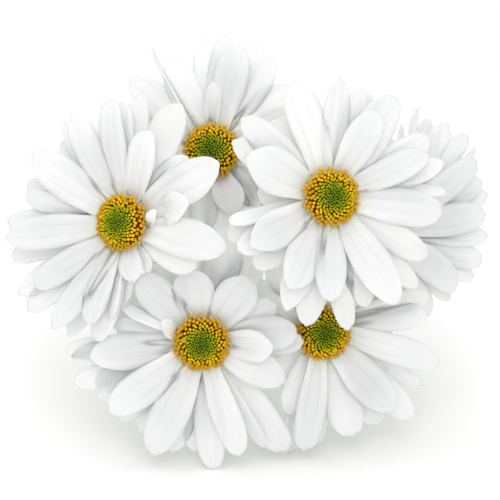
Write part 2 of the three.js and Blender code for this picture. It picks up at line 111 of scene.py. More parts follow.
# Each flower: its disc's middle (right, up, forward of MIDDLE), its turns right and up in degrees, where
# its stalk joins the stem, then its petals: tip right, tip up, width, how far the tip stands in front of
# the flower's plane, row from the front, roll and sideways bend in degrees. The last two may be left out.
FLOWERS = {
    "left_daisy": (((-34.5, 7.5, 6), (-30, 2), 0.2), [
        (-69, 3.5, 10, 2, 0), (-68, 8, 8, -1, 1, 8), (-63.5, 15.5, 6.5, 1, 1, -10),
        (-62.5, 18.5, 7, -3, 2, -5), (-61, 27, 11.5, 3, 0), (-53, 30.5, 7, -3, 2),
        (-51.5, 36, 8, 0, 1, 8), (-49.5, 37.5, 8.5, 2, 0, 5), (-43.5, 42.5, 5, -1, 1, 35),
        (-39, 42.5, 8, 1, 0), (-36, 41.5, 8, -1, 1), (-31, 43.5, 8, -4, 2), (-28.5, 33.5, 9.5, 5, 0),
        (-19.5, 41, 11, 0, 1), (-17.5, 26, 9, 1, 1), (-8.5, 24.5, 12, 2, 0), (-17.5, 13.5, 9, 5.5, 1),
        (-6.5, 0.5, 11.5, -1, 0, 8), (-15, -5, 10, -3, 1, 10), (-28, -6, 5.5, -2, 1, 20),
        (-32.5, -8.5, 7.5, 0, 0, -10), (-26.2, 11, 3, 4, 0, 40, -20), (-24, -2, 8, -5, 2),
        (-37, -17, 8.5, -5, 2), (-42.5, -25.5, 9, -3, 2), (-45.5, -21, 8, 1, 0),
        (-39, -19, 5.5, -1, 1, 20), (-55, -22, 9, 0, 0, 5, 8), (-50.5, -24, 8, -4, 2),
        (-62.5, -17, 9, -3, 1), (-60.5, -10, 8.5, 1, 0, 0, 6), (-64.5, -12.5, 8.5, -3, 2),
        (-66.5, -2, 7.5, -5, 2),
    ]),
    "top_daisy": (((-10.6, 27.2, -6), (-5, 8), 0.06), [
        (-13, 59.5, 8, -2, 2), (-7, 60, 7.5, -1, 1), (-3, 57, 10, 1, 0), (2, 59, 8, -4, 2),
        (6.5, 54.5, 9.5, -1, 1), (12, 46, 10, -2, 1), (11.5, 39, 8.5, 0, 0), (15, 32, 8.5, -3, 2),
        (14, 24, 8.5, -4, 1), (10, 14, 9, -5, 2), (2.5, 10.5, 9.5, -4, 1), (1, 12.5, 8, -3, 1, 10),
        (-4, 10, 9, 0, 0), (-8.5, 3.5, 8.5, -3, 2), (-14, 4, 8, -3, 1), (-22.5, 6, 8.5, -5, 2),
        (-30, 12.5, 8.5, -8, 1), (-35.5, 20.5, 8.5, -8, 2), (-34.5, 31, 8.5, -5, 1),
        (-33.5, 48, 9.5, -1, 1), (-34, 40, 8.5, -5, 2), (-28, 56, 4.5, 1, 0, 78), (-22.5, 54, 9.5, 1, 0),
        (-10.5, 47, 5, 5, 0),
    ]),
    "middle_daisy": (((21.9, 14.7, 14), (16, 2), 0), [
        (12.5, 47.5, 11, 1, 0), (6, 36, 9, -4, 2), (25, 48.5, 9, 1, 1, 15), (31, 45.5, 8.5, -1, 2),
        (35.5, 39, 10, 4, 0), (34, 43.5, 7, -4, 2), (41, 43, 11.5, 0, 1), (50.5, 31.5, 8.5, -1, 2),
        (50.5, 27, 8.5, 1, 0, -10), (54, 24.5, 7.5, -2, 1, -20), (55.5, 17, 5.5, -1, 1, -35),
        (54.5, 13, 7, -3, 2), (54, 10.5, 10.5, 1, 0), (50, -2, 8.5, 0, 1, 10), (47, -10.5, 7.5, -2, 2),
        (41, -15, 11, 1, 0), (27.5, -22.5, 7.5, -4, 2), (33, -16, 8, -4, 2), (22.5, -14.5, 9.5, 2, 0),
        (16, -21.5, 10, -4, 2), (11, -11, 11, 2, 0), (10, -17, 9.5, -2, 1), (1.5, -5, 9.5, -3, 2),
        (0, 1, 11, 3, 0), (-3.5, 0, 8.5, 0, 1), (-6.5, 3.5, 7, -2, 2), (-6, 8, 5, 1, 1, 40),
        (2, 16, 10, -3, 2), (-1, 26, 13, 4, 0), (-5, 30.5, 8, -1, 2), (-2.5, 37, 9, 0, 1, -20),
    ]),
    "lower_daisy": (((-13.3, -25.2, -2), (-2, -14), 0.42), [
        (-17, -5.5, 12, 2, 0), (0.5, -7.5, 12, 2, 0), (7.5, -15, 9, -1, 1), (13, -22.5, 10.5, 1, 1),
        (15, -25.5, 8, -1, 2), (6.5, -27.5, 9.5, 4, 0), (10, -37, 10.5, 1, 0), (10.5, -56.5, 10, -4, 2),
        (4, -55.5, 4.5, -2, 1, 20), (-3, -57.5, 8.5, 1, 0, 5), (-10, -61.5, 9, 0, 1),
        (-15.5, -56.5, 8.5, -2, 2), (-27.5, -57.5, 11, 2, 0), (-22, -56.5, 8.5, -2, 1),
        (-31, -51, 8, -4, 2), (-39, -45.5, 10.5, 2, 0), (-36.5, -48, 8, -5, 2), (-42.5, -41.5, 8, -5, 1),
        (-43.5, -38, 8.5, -3, 2), (-45, -30, 11, 0, 1), (-49.5, -37.5, 7.5, -6, 2),
        (-51.5, -28, 7, -6, 2), (-50, -30, 7, -5, 1), (-38, -21, 8.5, -1, 1), (-36, -15.5, 4.5, 0, 0, 45),
        (-24.8, -19.8, 4.5, 4, 0, 40, 20), (-31, -7, 11, 1, 0), (-38.5, -10.5, 9, -7, 2),
        (-42, -17, 8, -7, 2), (-27.5, -3.5, 9.5, -2, 1), (-12, -1, 9, -6, 2), (-5, 7, 11, -5, 2),
        (2.5, 0.5, 10.5, -5, 2),
    ]),
    "corner_daisy": (((20, -22.5, -9), (12, -12), 0.31), [
        (53, -32, 9, 1, 0, 0, 7), (49.5, -18, 8, 2, 1, -20, 8), (41, -21.5, 8, -5, 2),
        (48, -38, 5.5, -3, 2, 20), (45.5, -47, 9, -1, 1), (40, -45, 11.5, 2, 0),
        (36.5, -48.5, 9.5, -3, 2), (29, -52.5, 11, 0, 1), (15, -56.5, 8.5, 1, 0, 10),
        (17.5, -54.5, 8.5, -2, 2), (11, -57, 8.5, -6.4, 2), (10.5, -46.5, 9.5, 0, 1),
        (3.5, -38, 9, -3, 2), (-3, -28.5, 8.5, -5, 1), (-4, -19, 8.5, -5, 2), (-1.5, -8.5, 8.5, -4, 1),
        (5, -2, 8.5, -1, 2), (14, 1.5, 8.5, -4, 1), (24, 3, 8.5, -5, 2), (35, -3.5, 8.5, -2, 1),
        (42.5, -12.5, 8.5, -3, 2), (50, -12.5, 8, 0, 1),
    ]),
    "right_daisy": (((36, 5.5, -17), (38, 0), 0.13), [
        (47, 40.5, 4.5, 1, 0, 70), (43, 35.5, 5, -1, 1, 20), (39, 31.5, 5.5, -3, 2), (50, 36.5, 6, -3, 2),
        (55, 35, 8, 0, 1), (54, 33, 5, 3, 0, 50), (61, 32, 7.5, -1, 1), (64, 28, 4.5, -4, 2, 40),
        (64, 25, 9, 1, 0), (65, 19, 8.5, -2, 1), (66, 15.5, 8, -4, 2), (65.5, 10, 9.5, 0, 0),
        (66, 4, 7.5, -1, 1, -20), (64.5, -3, 8, -1, 1), (62.5, -7.5, 7.5, -2, 2),
        (58.5, -10.5, 10.5, 1, 0), (56.5, -13.5, 6, -4, 2), (51, -18.5, 8, -2, 1),
        (43.5, -15, 8.5, -3, 2), (35, -13.5, 8.5, -4, 1), (28, -11, 8, -4, 2), (22, -5.5, 8, -5, 1),
        (18.5, 2, 8, -6, 2), (24, 11.5, 7.5, -6, 1), (19, 20.5, 7.5, -6, 2), (23, 26.5, 8, -5, 1),
        (29, 30.5, 7.5, -4, 2), (34.5, 32, 7, -3, 1),
    ]),
}

# ---- vectors and curves ----


def unit(vectors):
    """Each vector over its own length."""
    return vectors / np.linalg.norm(vectors, axis=-1, keepdims=True)


def lerp(first, last, share):
    """first at 0, last at 1, in a straight line."""
    return first + (last - first) * share


def smooth(share):
    """3s^2 - 2s^3 of the share s held between 0 and 1: level at both ends."""
    share = np.clip(share, 0, 1)
    return share * share * (3 - 2 * share)


def eased(value, low, high):
    """0 up to low and 1 from high on, smooth in between."""
    return smooth((value - low) / (high - low))


def bump(distance, width):
    """exp(-(distance / width)^2): 1 on a line, and nearly 0 two widths off it."""
    return np.exp(-((distance / width) ** 2))


def dot(first, second):
    """The dot product along the last axis, kept as an axis."""
    return np.sum(first * second, axis=-1, keepdims=True)


def flattened(vectors, normal):
    """The part of each vector that lies square to the normal, made unit length."""
    return unit(vectors - normal * dot(vectors, normal))


def turned_about(vectors, axis, angle):
    """Rodrigues' turn: v cos a + (k x v) sin a + k (k.v)(1 - cos a)."""
    cos, sin = np.cos(angle), np.sin(angle)
    return vectors * cos + np.cross(axis, vectors) * sin + axis * dot(vectors, axis) * (1 - cos)


def bezier(points, share):
    """A cubic Bezier of four points and its unit tangent, at each share along it."""
    a, b, c, d = points
    s = share[..., None]
    rest = 1 - s
    place = a * rest**3 + 3 * b * rest**2 * s + 3 * c * rest * s**2 + d * s**3
    slope = (b - a) * rest**2 + 2 * (c - b) * rest * s + (d - c) * s**2
    return place, unit(slope)


def stem_line(share):
    """The stem's middle line and tangent at shares of its length.

    It is a centripetal Catmull-Rom spline through the route's points, as Hermite pieces whose slopes use the
    square root of each step, and it is measured off by length."""
    before_first = 2 * STEM_ROUTE[:1] - STEM_ROUTE[1:2]
    past_last = 2 * STEM_ROUTE[-1:] - STEM_ROUTE[-2:-1]
    ends = np.concatenate([before_first, STEM_ROUTE, past_last])
    knots = np.sqrt(np.linalg.norm(np.diff(ends, axis=0), axis=1))[:, None]
    before, here, after = knots[:-2], knots[1:-1], knots[2:]
    step = np.diff(ends, axis=0)
    slope_in = here * (step[:-2] / before - (step[:-2] + step[1:-1]) / (before + here) + step[1:-1] / here)
    slope_out = here * (step[1:-1] / here - (step[1:-1] + step[2:]) / (here + after) + step[2:] / after)
    s = np.linspace(0, 1, STEM_SAMPLES)[None, :, None]
    start, stop = ends[1:-2, None], ends[2:-1, None]
    line = start * (2 * s**3 - 3 * s**2 + 1) + slope_in[:, None] * (s**3 - 2 * s**2 + s)
    line = line + stop * (3 * s**2 - 2 * s**3) + slope_out[:, None] * (s**3 - s**2)
    line = np.concatenate([line[:, :-1].reshape(-1, 3), STEM_ROUTE[-1:]])
    run = np.concatenate([[0], np.cumsum(np.linalg.norm(np.diff(line, axis=0), axis=1))])
    tangents = unit(np.gradient(line, axis=0))
    share = np.asarray(share, float) * run[-1]
    place, tangent = (
        np.stack([np.interp(share, run, column) for column in table.T], axis=-1) for table in (line, tangents)
    )
    return place, unit(tangent)


# ---- places ----

RIGHT = np.array((1.0, 0.0, 0.0))
UP = np.array((0.0, math.sin(LYING_TILT), math.cos(LYING_TILT)))
FORWARD = np.array((0.0, -math.cos(LYING_TILT), math.sin(LYING_TILT)))
Z_AXIS = np.array((0.0, 0.0, 1.0))


def seen(right, up, forward):
    """MIDDLE + right and up, drawn in by 1 - forward / eye distance, + forward."""
    right, up, forward = (np.asarray(x, float)[..., None] for x in (right, up, forward))
    shrink = 1 - forward / EYE_DISTANCE
    return MIDDLE + RIGHT * right * shrink + UP * up * shrink + FORWARD * forward


def seen_on_plane(right, up, centre, normal, lift):
    """Where the sight line through (right, up) is `lift` in front of the plane through centre."""
    near = seen(right, up, np.zeros_like(right))
    step = seen(right, up, np.ones_like(right)) - near
    forward = (np.asarray(lift)[..., None] - dot(near - centre, normal)) / dot(step, normal)
    return near + step * forward


def facing(turns):
    """The unit vector that is FORWARD turned right and up by the two angles, in degrees."""
    a, b = np.radians(turns)
    return RIGHT * np.sin(a) * np.cos(b) + UP * np.sin(b) + FORWARD * np.cos(a) * np.cos(b)


def spoke(angle):
    """The unit vector square to Z at that angle: (cos a, sin a, 0)."""
    return np.stack([np.cos(angle), np.sin(angle), np.zeros_like(angle)], axis=-1)


def circled(side, other, radius, angle):
    """radius x (side cos a + other sin a)."""
    return side * (radius * np.cos(angle))[..., None] + other * (radius * np.sin(angle))[..., None]


# ---- meshes ----


def grid_faces(rows, columns, wrapped=False):
    """Quads between the points of a grid numbered row by row. Wrapped joins its last column to its first.
    They face the way of (next column) x (next row)."""
    row = np.arange(rows - 1)[:, None] * columns
    here = np.arange(columns if wrapped else columns - 1)
    after = (here + 1) % columns
    return np.stack([row + here, row + after, row + columns + after, row + columns + here], -1).reshape(-1, 4)


def blade_mesh(middle, face, half):
    """Blades from their middle surfaces (blade, row, column, 3): the skins middle + face x half and
    middle - face x half, and a wall round the rim between the two."""
    count, rows, columns = half.shape
    skins = np.stack([middle + face * half[..., None], middle - face * half[..., None]], axis=1)
    size = rows * columns
    front = grid_faces(rows, columns)
    grid = np.arange(size).reshape(rows, columns)
    rim = np.concatenate([grid[0, :-1], grid[:-1, -1], grid[-1, :0:-1], grid[:0:-1, 0]])
    after = np.roll(rim, -1)
    wall = np.stack([after, rim, rim + size, after + size], -1)
    blade = np.concatenate([front, front[:, ::-1] + size, wall])
    faces = blade[None] + 2 * size * np.arange(count)[:, None, None]
    return skins.reshape(-1, 3), faces.reshape(-1, 4).tolist()


def ring_mesh(rings):
    """Tubes from their rings (tube, ring, point, 3), the ends closed flat. A ring's points run right-handed
    round the way that the tube goes."""
    count, levels, around = rings.shape[:3]
    start = levels * around * np.arange(count)[:, None, None]
    sides = grid_faces(levels, around, wrapped=True)[None] + start
    foot = np.arange(around)[::-1] + start[:, 0]
    top = np.arange(around) + (levels - 1) * around + start[:, 0]
    return rings.reshape(-1, 3), sides.reshape(-1, 4).tolist() + foot.tolist() + top.tolist()


def added(name, data):
    """A new object of that mesh, lamp or camera, in the scene."""
    thing = bpy.data.objects.new(name, data)
    bpy.context.scene.collection.objects.link(thing)
    return thing


def add_piece(name, shape, finish, slot, replaced, **marks):
    """Adds a mesh in metres that rides on the bunch and stands for the replaced nodes of the part. Each mark
    is a number per point, for the finish to read."""
    points, faces = shape
    mesh = bpy.data.meshes.new(name)
    mesh.from_pydata(points * MM, [], faces)
    mesh.polygons.foreach_set("use_smooth", np.ones(len(faces), bool))
    for key, values in marks.items():
        attribute = mesh.attributes.new(key, "FLOAT", "POINT")
        attribute.data.foreach_set("value", np.broadcast_to(values, len(points)).astype(np.float32))
    mesh.materials.append(finish)
    mesh.update()
    piece = added(name, mesh)
    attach(piece, "root")
    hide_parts(*replaced)


def per_skin(values):
    """A number per point of a blade's middle surface, given to both of its skins."""
    return np.stack([values, values], axis=1).ravel()


def side_of(half):
    """1 on each blade's front skin and 0 on its back."""
    return np.stack([np.ones_like(half), np.zeros_like(half)], axis=1).ravel()


# ---- finishes ----


def shade(code):
    """A linear colour from a hex code: ((c + 0.055) / 1.055)^2.4 of each share."""
    shares = [int(code[i : i + 2], 16) / 255 for i in (0, 2, 4)]
    return tuple(((c + 0.055) / 1.055) ** 2.4 if c > 0.04 else c / 12.92 for c in shares) + (1.0,)


class Wire:
    """One output in a finish's nodes. Sums and products of it, with wires or numbers, add Math nodes."""

    def __init__(self, tree, socket=None):
        self.tree, self.socket = tree, socket

    def node(self, kind, sockets=(), output=0, stops=(), **settings):
        """Adds a node: its settings and a ramp's stops first, then the values or wires of its sockets."""
        node = self.tree.nodes.new(kind)
        for setting, value in settings.items():
            setattr(node, setting, value)
        for k, (place, colour) in enumerate(stops):
            stop = node.color_ramp.elements[k] if k < 2 else node.color_ramp.elements.new(1)
            stop.position, stop.color = place, shade(colour)
        for socket, value in dict(sockets).items():
            if isinstance(value, Wire):
                self.tree.links.new(value.socket, node.inputs[socket])
            else:
                node.inputs[socket].default_value = value
        return Wire(self.tree, node.outputs[output] if len(node.outputs) else None)

    def math(self, operation, *values, clamp=False):
        """A Math node on this wire and the values after it."""
        return self.node("ShaderNodeMath", enumerate((self, *values)), operation=operation, use_clamp=clamp)

    def mix(self, low, high):
        """The colour low where this wire is 0 and high where it is 1."""
        low, high = (shade(c) if isinstance(c, str) else c for c in (low, high))
        return self.node("ShaderNodeMix", {0: self, 6: low, 7: high}, output=2, data_type="RGBA")

    def ramp(self, *stops):
        """The colour of (place, hex code) stops where this wire has that value."""
        return self.node("ShaderNodeValToRGB", {0: self}, stops=stops)

    def above(self, low, high):
        """0 where this wire is at low and 1 where it is at high, level beyond both."""
        return ((self - low) / (high - low)).math("ADD", 0, clamp=True)

    def __add__(self, other):
        return self.math("ADD", other)

    def __sub__(self, other):
        return self.math("SUBTRACT", other)

    def __mul__(self, other):
        return self.math("MULTIPLY", other)

    def __truediv__(self, other):
        return self.math("DIVIDE", other)

    def __rsub__(self, other):
        return (self * -1) + other

    __radd__ = __add__
    __rmul__ = __mul__


def new_finish(name):
    """A finish with no nodes yet, and a wire to start them from."""
    finish = bpy.data.materials.new(name)
    finish.use_nodes = True
    finish.node_tree.nodes.clear()
    return finish, Wire(finish.node_tree)


def surface(start, **sockets):
    """Ends a finish's nodes in a Principled shader, whose sockets hold those values or wires."""
    shader = start.node("ShaderNodeBsdfPrincipled", {k.replace("_", " "): v for k, v in sockets.items()})
    start.node("ShaderNodeOutputMaterial", {"Surface": shader})


def marks_of(start, *names):
    """The numbers that a piece's points carry under those names."""
    return [start.node("ShaderNodeAttribute", output=2, attribute_name=name) for name in names]


def grain(start, size_mm, detail=3.0):
    """Noise in the piece's own place, with lumps of about that size."""
    place = start.node("ShaderNodeTexCoord", output=3)
    sockets = {"Vector": place, "Scale": 1 / (size_mm * MM), "Detail": detail}
    return start.node("ShaderNodeTexNoise", sockets)


def relief(start, height, depth_mm):
    """A bump whose height of 1 stands that far out."""
    return start.node("ShaderNodeBump", {"Height": height, "Distance": depth_mm * MM, "Strength": 1.0})


# ---- finishes of this bunch ----


def petal_finish():
    """White, with a breath of yellow-green at the base, painted light as a brighter white towards the base,
    greyer underneath, painted shade as a grey rim, fine veins along it, and a soft fold on each side darkened
    by painted shade, whose place and depth differ from petal to petal."""
    finish, start = new_finish("petal_white")
    along, across, tone, front = marks_of(start, "along", "across", "tone", "front")
    mottle = grain(start, 2.5)
    near_base = (1 - along.above(0.02, 0.3)).math("POWER", 1.6) * (0.6 + mottle * 0.5)
    white = tone.mix("e8e9e9", "f1f1f1")
    white = ((1 - front) * 0.5).mix(white, "eceded")
    # Painted light: a brighter white towards the base, over the shade that the disc casts there.
    painted_light_at_base = (1 - along.above(0.1, 0.6)).mix(white, "fdfdfb")
    tinted = near_base.mix(painted_light_at_base, "e6f5c4")
    veins = ((across * 38 + grain(start, 6.0) * 2.5).math("SINE") * 0.5 + 0.5) * along.above(0.0, 0.25)
    streaked = (veins * 0.10).mix(tinted, "dfe4dc")
    # Painted shade: the rim is painted grey, as the shade of the edges turning away from the light.
    rim = across.math("ABSOLUTE").above(0.86, 1.0) * along.above(0.3, 0.6)
    edged = (rim * 0.6).mix(streaked, "c6c8cc")
    depth = (tone * 9.7).math("FRACT")
    aside = (across + (tone - 0.5) * 0.24).math("ABSOLUTE") - 0.24 - depth * 0.16
    folds = 1 - (aside + (mottle - 0.5) * 0.12).math("ABSOLUTE").above(0.0, 0.08)
    folds = folds * along.above(0.04, 0.2) * (1 - along.above(0.55, 0.9)) * (depth * 0.85 + 0.15)
    # Painted shade: the folds are painted greyer as well as sunk by the bump.
    fold_shaded = (folds * 0.24).mix(edged, "c4c7c8")
    height = veins * 0.45 + grain(start, 0.35) * 0.4 - folds * 1.6
    surface(
        start, Base_Color=fold_shaded, Roughness=0.46 + mottle * 0.18, Normal=relief(start, height, 0.045),
        Subsurface_Weight=0.65, Subsurface_Radius=(1.0, 1.0, 0.95), Subsurface_Scale=0.0025,
        Specular_IOR_Level=0.25,
    )
    return finish


def disc_finish():
    """Florets from green buds in the middle to open orange ones at the rim, painted dark brown down between
    them as the shade there.
    """
    finish, start = new_finish("disc_florets")
    ripe, rise, tint = marks_of(start, "ripe", "rise", "tint")
    stage = ripe + (tint - 0.5) * 0.14
    lip = stage.ramp((0.0, "5a7406"), (0.42, "8a9c0a"), (0.62, "b0aa08"), (0.76, "e6c000"), (0.9, "ffc400"))
    # Painted shade: the foot ramp is the florets' hue made dark, as the shade down between the florets and on
    # the dome.
    foot = stage.ramp((0.0, "182404"), (0.5, "383a00"), (0.72, "5c3800"), (0.92, "6e2800"))
    body = rise.above(0.4, 0.86).mix(foot, lip)
    rough, bumps = 0.5 + grain(start, 0.5) * 0.25, relief(start, grain(start, 0.22), 0.05)
    surface(start, Base_Color=body, Roughness=rough, Normal=bumps, Specular_IOR_Level=0.15)
    return finish


def bract_finish():
    """Streaked green, with pale dry margins and brown tips."""
    finish, start = new_finish("bract_green")
    along, across = marks_of(start, "along", "across")
    streaks = grain(start, 0.8, 4.0)
    green = streaks.mix("3f5a22", "7f9a4c")
    margin = across.math("ABSOLUTE").above(0.62, 0.95)
    dry = margin.mix(green, "c8bb92")
    tipped = (along.above(0.82, 1.0) * (0.4 + streaks * 0.5)).mix(dry, "8a6a3c")
    rough, bumps = 0.55 + streaks * 0.25, relief(start, streaks + (across * 16).math("SINE") * 0.25, 0.08)
    surface(start, Base_Color=tipped, Roughness=rough, Normal=bumps, Specular_IOR_Level=0.3)
    return finish


def base_finish():
    """The pale green seat that the petals grow on."""
    finish, start = new_finish("flower_base_green")
    lumps = grain(start, 0.7)
    green, rough, bumps = lumps.mix("d3dcb0", "e6ebcf"), 0.6 + lumps * 0.2, relief(start, lumps, 0.12)
    surface(start, Base_Color=green, Roughness=rough, Normal=bumps, Specular_IOR_Level=0.3)
    return finish


def stalk_finish(name, light, dark, old):
    """Fresh green ribs with darker furrows, fine down, an older tone in patches towards the foot, and a cut
    end with pale pith inside a darker ring."""
    finish, start = new_finish(name)
    along, rib, cut = marks_of(start, "along", "rib", "cut")
    patches = grain(start, 6.0)
    down = grain(start, 0.3, 5.0)
    ribbed = (rib * 0.7 + down * 0.3).mix(dark, light)
    aged = (along.above(0.35, 1.0) * (0.25 + patches * 0.5)).mix(ribbed, old)
    rings = grain(start, 0.5)
    pith = cut.above(0.12, 0.3).mix("5b6d35", rings.mix("c9cfa4", "e6e6cc"))
    body = cut.above(0.02, 0.12).mix(aged, pith)
    rough, bumps = 0.48 + down * 0.25, relief(start, down + patches * 0.6, 0.09)
    surface(
        start, Base_Color=body, Roughness=rough, Normal=bumps, Specular_IOR_Level=0.4, Sheen_Weight=0.12,
        Sheen_Roughness=0.5,
    )
    return finish


def leaf_finish():
    """Deep green on top with pale veins, greyer green underneath, a thin lighter edge, and small cells."""
    finish, start = new_finish("leaf_green")
    vein, across, front = marks_of(start, "vein", "across", "front")
    clouds = grain(start, 7.0, 4.0)
    pores = grain(start, 0.45, 4.0)
    top = (clouds * 0.8 + pores * 0.2).mix("2c4a1c", "557a35")
    under = clouds.mix("6d8a55", "8ca573")
    blade = front.mix(under, top)
    veined = (vein * 0.7).mix(blade, "9db573")
    edged = (across.math("ABSOLUTE").above(0.93, 1.0) * 0.5).mix(veined, "93a860")
    place = start.node("ShaderNodeTexCoord", output=3)
    sockets = {"Vector": place, "Scale": 1 / (1.1 * MM)}
    cells = start.node("ShaderNodeTexVoronoi", sockets, feature="DISTANCE_TO_EDGE")
    surface(
        start, Base_Color=edged, Roughness=0.5 + pores * 0.25,
        Normal=relief(start, cells.above(0.0, 0.25) * 0.7 + pores * 0.4, 0.12),
        Subsurface_Weight=0.12, Subsurface_Radius=(0.6, 1.0, 0.3), Subsurface_Scale=0.0008,
        Specular_IOR_Level=0.35,
    )
    return finish


# ---- petals ----

PETAL_GRID = (33, 25)  # points along and across
ROW_NAMES = ("front", "middle", "back")
PETAL_HALF_THICKNESS = 0.2
EDGE_THINS_BY = 0.55
TIP_THINS_TO = 0.6
TIP_ROUND_LIMITS = (0.12, 0.42)  # how much of the length the round tip may take
TIP_ROUND_FOR_WIDTH = 0.95  # what it takes, times width over length
NOTCH_WIDTH = 0.12
TAPER_FROM = 0.62
RIDGES_FULL_AT = 0.3
RIDGES_FADE_FROM = 0.85
USUAL_WIDTH = 8.0  # ridges and turned edges grow with the width over this
EDGE_TURNS_DOWN = 0.35
WAVE_FULL_AT = 0.4
TIP_BENDS_FROM = 0.75

# What differs from petal to petal: chance draws each between two values.
TIP_ROUND = (0.8, 1.35)
NOTCH_DEPTH = (0.0, 0.022)
NOTCH_PLACE = (0.26, 0.4)  # the same either side of the middle
TIP_POWER = (1.55, 2.4)  # 2 is an ellipse, and less is more pointed
TWIST = (-0.12, 0.12)
TAPER = (0.05, 0.25)
SWAY = (-0.5, 0.5)
RIDGE_DEPTH = (0.02, 0.12)
WAVE_PHASE = (0, 2 * math.pi)
WAVE_OFFSET = (0.5, 2.5)  # between the two edges
WAVE_HEIGHT = (0.1, 0.45)
WAVE_RATE = (5, 10)
TIP_BEND = (-1.0, 0.7)


def petal_blades(centre, normal, petals, chance):
    """Petals as blades on u (base to tip) and v (side to side).

    The middle line is a cubic Bezier from the flower's base, rising, arching and ending at the tip. Across
    it, a point lies half x sin(curl v) / curl sideways and half x (1 - cos(curl v)) / curl towards the
    face. On that stand three ridges, depth x cos(3 pi v), a wave of each edge, |v|^3 x sin, edges that turn
    down by |v|^6, and a tip that bends by the square of the way past three quarters. The tip's outline is
    where t = u (1 - round x (1 - (1 - |v|^p)^0.5) - notch), so it is round and faintly notched."""
    right, up, width, lift, row, roll, bend = petals.T
    row = row.astype(int)

    def draw(between):
        """A number for each petal, somewhere between the two."""
        return chance.uniform(*between, len(petals))[:, None, None]

    tip = seen_on_plane(right, up, centre, normal, lift)
    out = turned_about(flattened(tip - centre, normal), normal, np.radians(bend)[:, None])
    start = centre + out * PETAL_BASE_RADIUS - normal * PETAL_ROW_DROP[row][:, None]
    reach = np.linalg.norm(tip - start, axis=-1)
    rise = PETAL_ROW_RISE[row][:, None]
    leaving = (out * np.cos(rise) + normal * np.sin(rise)) * reach[:, None]
    knee = lerp(start, tip, PETAL_KNEES[1]) + normal * PETAL_ROW_ARCH[row][:, None]
    points = [p[:, None, None] for p in (start, start + leaving * PETAL_KNEES[0], knee, tip)]
    width, reach, roll = (x[:, None, None] for x in (width, reach, np.radians(roll)))

    u = np.linspace(0, 1, PETAL_GRID[0])[None, :, None]
    v = np.sin(np.linspace(-1, 1, PETAL_GRID[1]) * math.pi / 2)[None, None, :]
    edge = np.abs(v)
    tip_round = np.clip(TIP_ROUND_FOR_WIDTH * width / reach * draw(TIP_ROUND), *TIP_ROUND_LIMITS)
    notch = draw(NOTCH_DEPTH) * bump(edge - draw(NOTCH_PLACE), NOTCH_WIDTH)
    t = u * (1 - tip_round * (1 - np.sqrt(1 - edge ** draw(TIP_POWER))) - notch)

    line, tangent = bezier(points, t)
    face = flattened(np.broadcast_to(normal, tangent.shape), tangent)
    rolled = roll * lerp(PETAL_BASE_ROLL, 1, np.clip(t / PETAL_FULL_ROLL_AT, 0, 1)) + draw(TWIST) * t
    face = turned_about(face, tangent, rolled[..., None])
    sideways = np.cross(tangent, face)

    widening = lerp(PETAL_CLAW_WIDTH, 1, smooth(t / PETAL_FULL_WIDTH_AT))
    half = width / 2 * widening * (1 - draw(TAPER) * eased(t, TAPER_FROM, 1))
    curl = lerp(*PETAL_CHANNEL, np.clip(t / PETAL_FULL_WIDTH_AT, 0, 1))
    across = half * np.sin(curl * v) / curl + draw(SWAY) * np.sin(2 * math.pi * t) * t
    channel = half * (1 - np.cos(curl * v)) / curl
    begun = smooth(t / RIDGES_FULL_AT)
    scale = width / USUAL_WIDTH
    ridges = draw(RIDGE_DEPTH) * scale * np.cos(3 * math.pi * v) * begun * (1 - eased(t, RIDGES_FADE_FROM, 1))
    phase = draw(WAVE_PHASE) + draw(WAVE_OFFSET) * np.sign(v)
    wave = draw(WAVE_HEIGHT) * edge**3 * np.sin(draw(WAVE_RATE) * t + phase) * smooth(t / WAVE_FULL_AT)
    turned_down = EDGE_TURNS_DOWN * scale * edge**6 * begun
    bent = draw(TIP_BEND) * np.clip((t - TIP_BENDS_FROM) / (1 - TIP_BENDS_FROM), 0, 1) ** 2
    raised = channel + ridges + wave - turned_down + bent
    middle = line + sideways * across[..., None] + face * raised[..., None]
    thin = PETAL_HALF_THICKNESS * (1 - EDGE_THINS_BY * edge**4) * lerp(1, TIP_THINS_TO, t**4)
    tone = np.broadcast_to(draw((0, 1)), t.shape)
    return middle, face, thin, {"along": t, "across": np.broadcast_to(v, t.shape), "tone": tone}


def make_petals(name, centre, normal, petals, finish, chance):
    """The three rows of a flower's petals, each one piece."""
    table = np.array([petal + (0,) * (7 - len(petal)) for petal in petals], float)
    for row, row_name in enumerate(ROW_NAMES):
        chosen = table[table[:, 4] == row]
        middle, face, half, marks = petal_blades(centre, normal, chosen, chance)
        marks = {key: per_skin(values) for key, values in marks.items()}
        shape = blade_mesh(middle, face, half)
        title = f"{name}_petals_{row_name}"
        add_piece(title, shape, finish, "petals", [f"{name}_petals"], front=side_of(half), **marks)


# ---- disc, seat and cup ----

FLORETS = 265
FLORET_SPIRAL = math.radians(137.508)
FLORET_SPREAD = 0.54  # below 0.5 they crowd at the rim, above it in the middle
FLORET_FIELD = 6.6  # radius that their feet cover; the shares below are of this
FLORET_GROWS = (0.2, 0.9)
FLORET_HEIGHTS = (1.1, 1.9)
FLORET_RADII = (0.3, 0.43)
FLORET_UNEVEN = (0.84, 1.16)  # chance, times its height
FLORET_SUNK = 0.35  # its foot in the dome
FLORET_LEANS = (0.45, 1.1)
FLORET_LEAN = math.radians(60)
FLORET_LEAN_POWER = 1.3
FLORET_STRAY = 0.09  # how far chance turns it, in radians
FLORET_OPENS = (0.73, 0.85)
FLORET_AGE_SCATTER = 0.03
FLORET_POINTS = 10
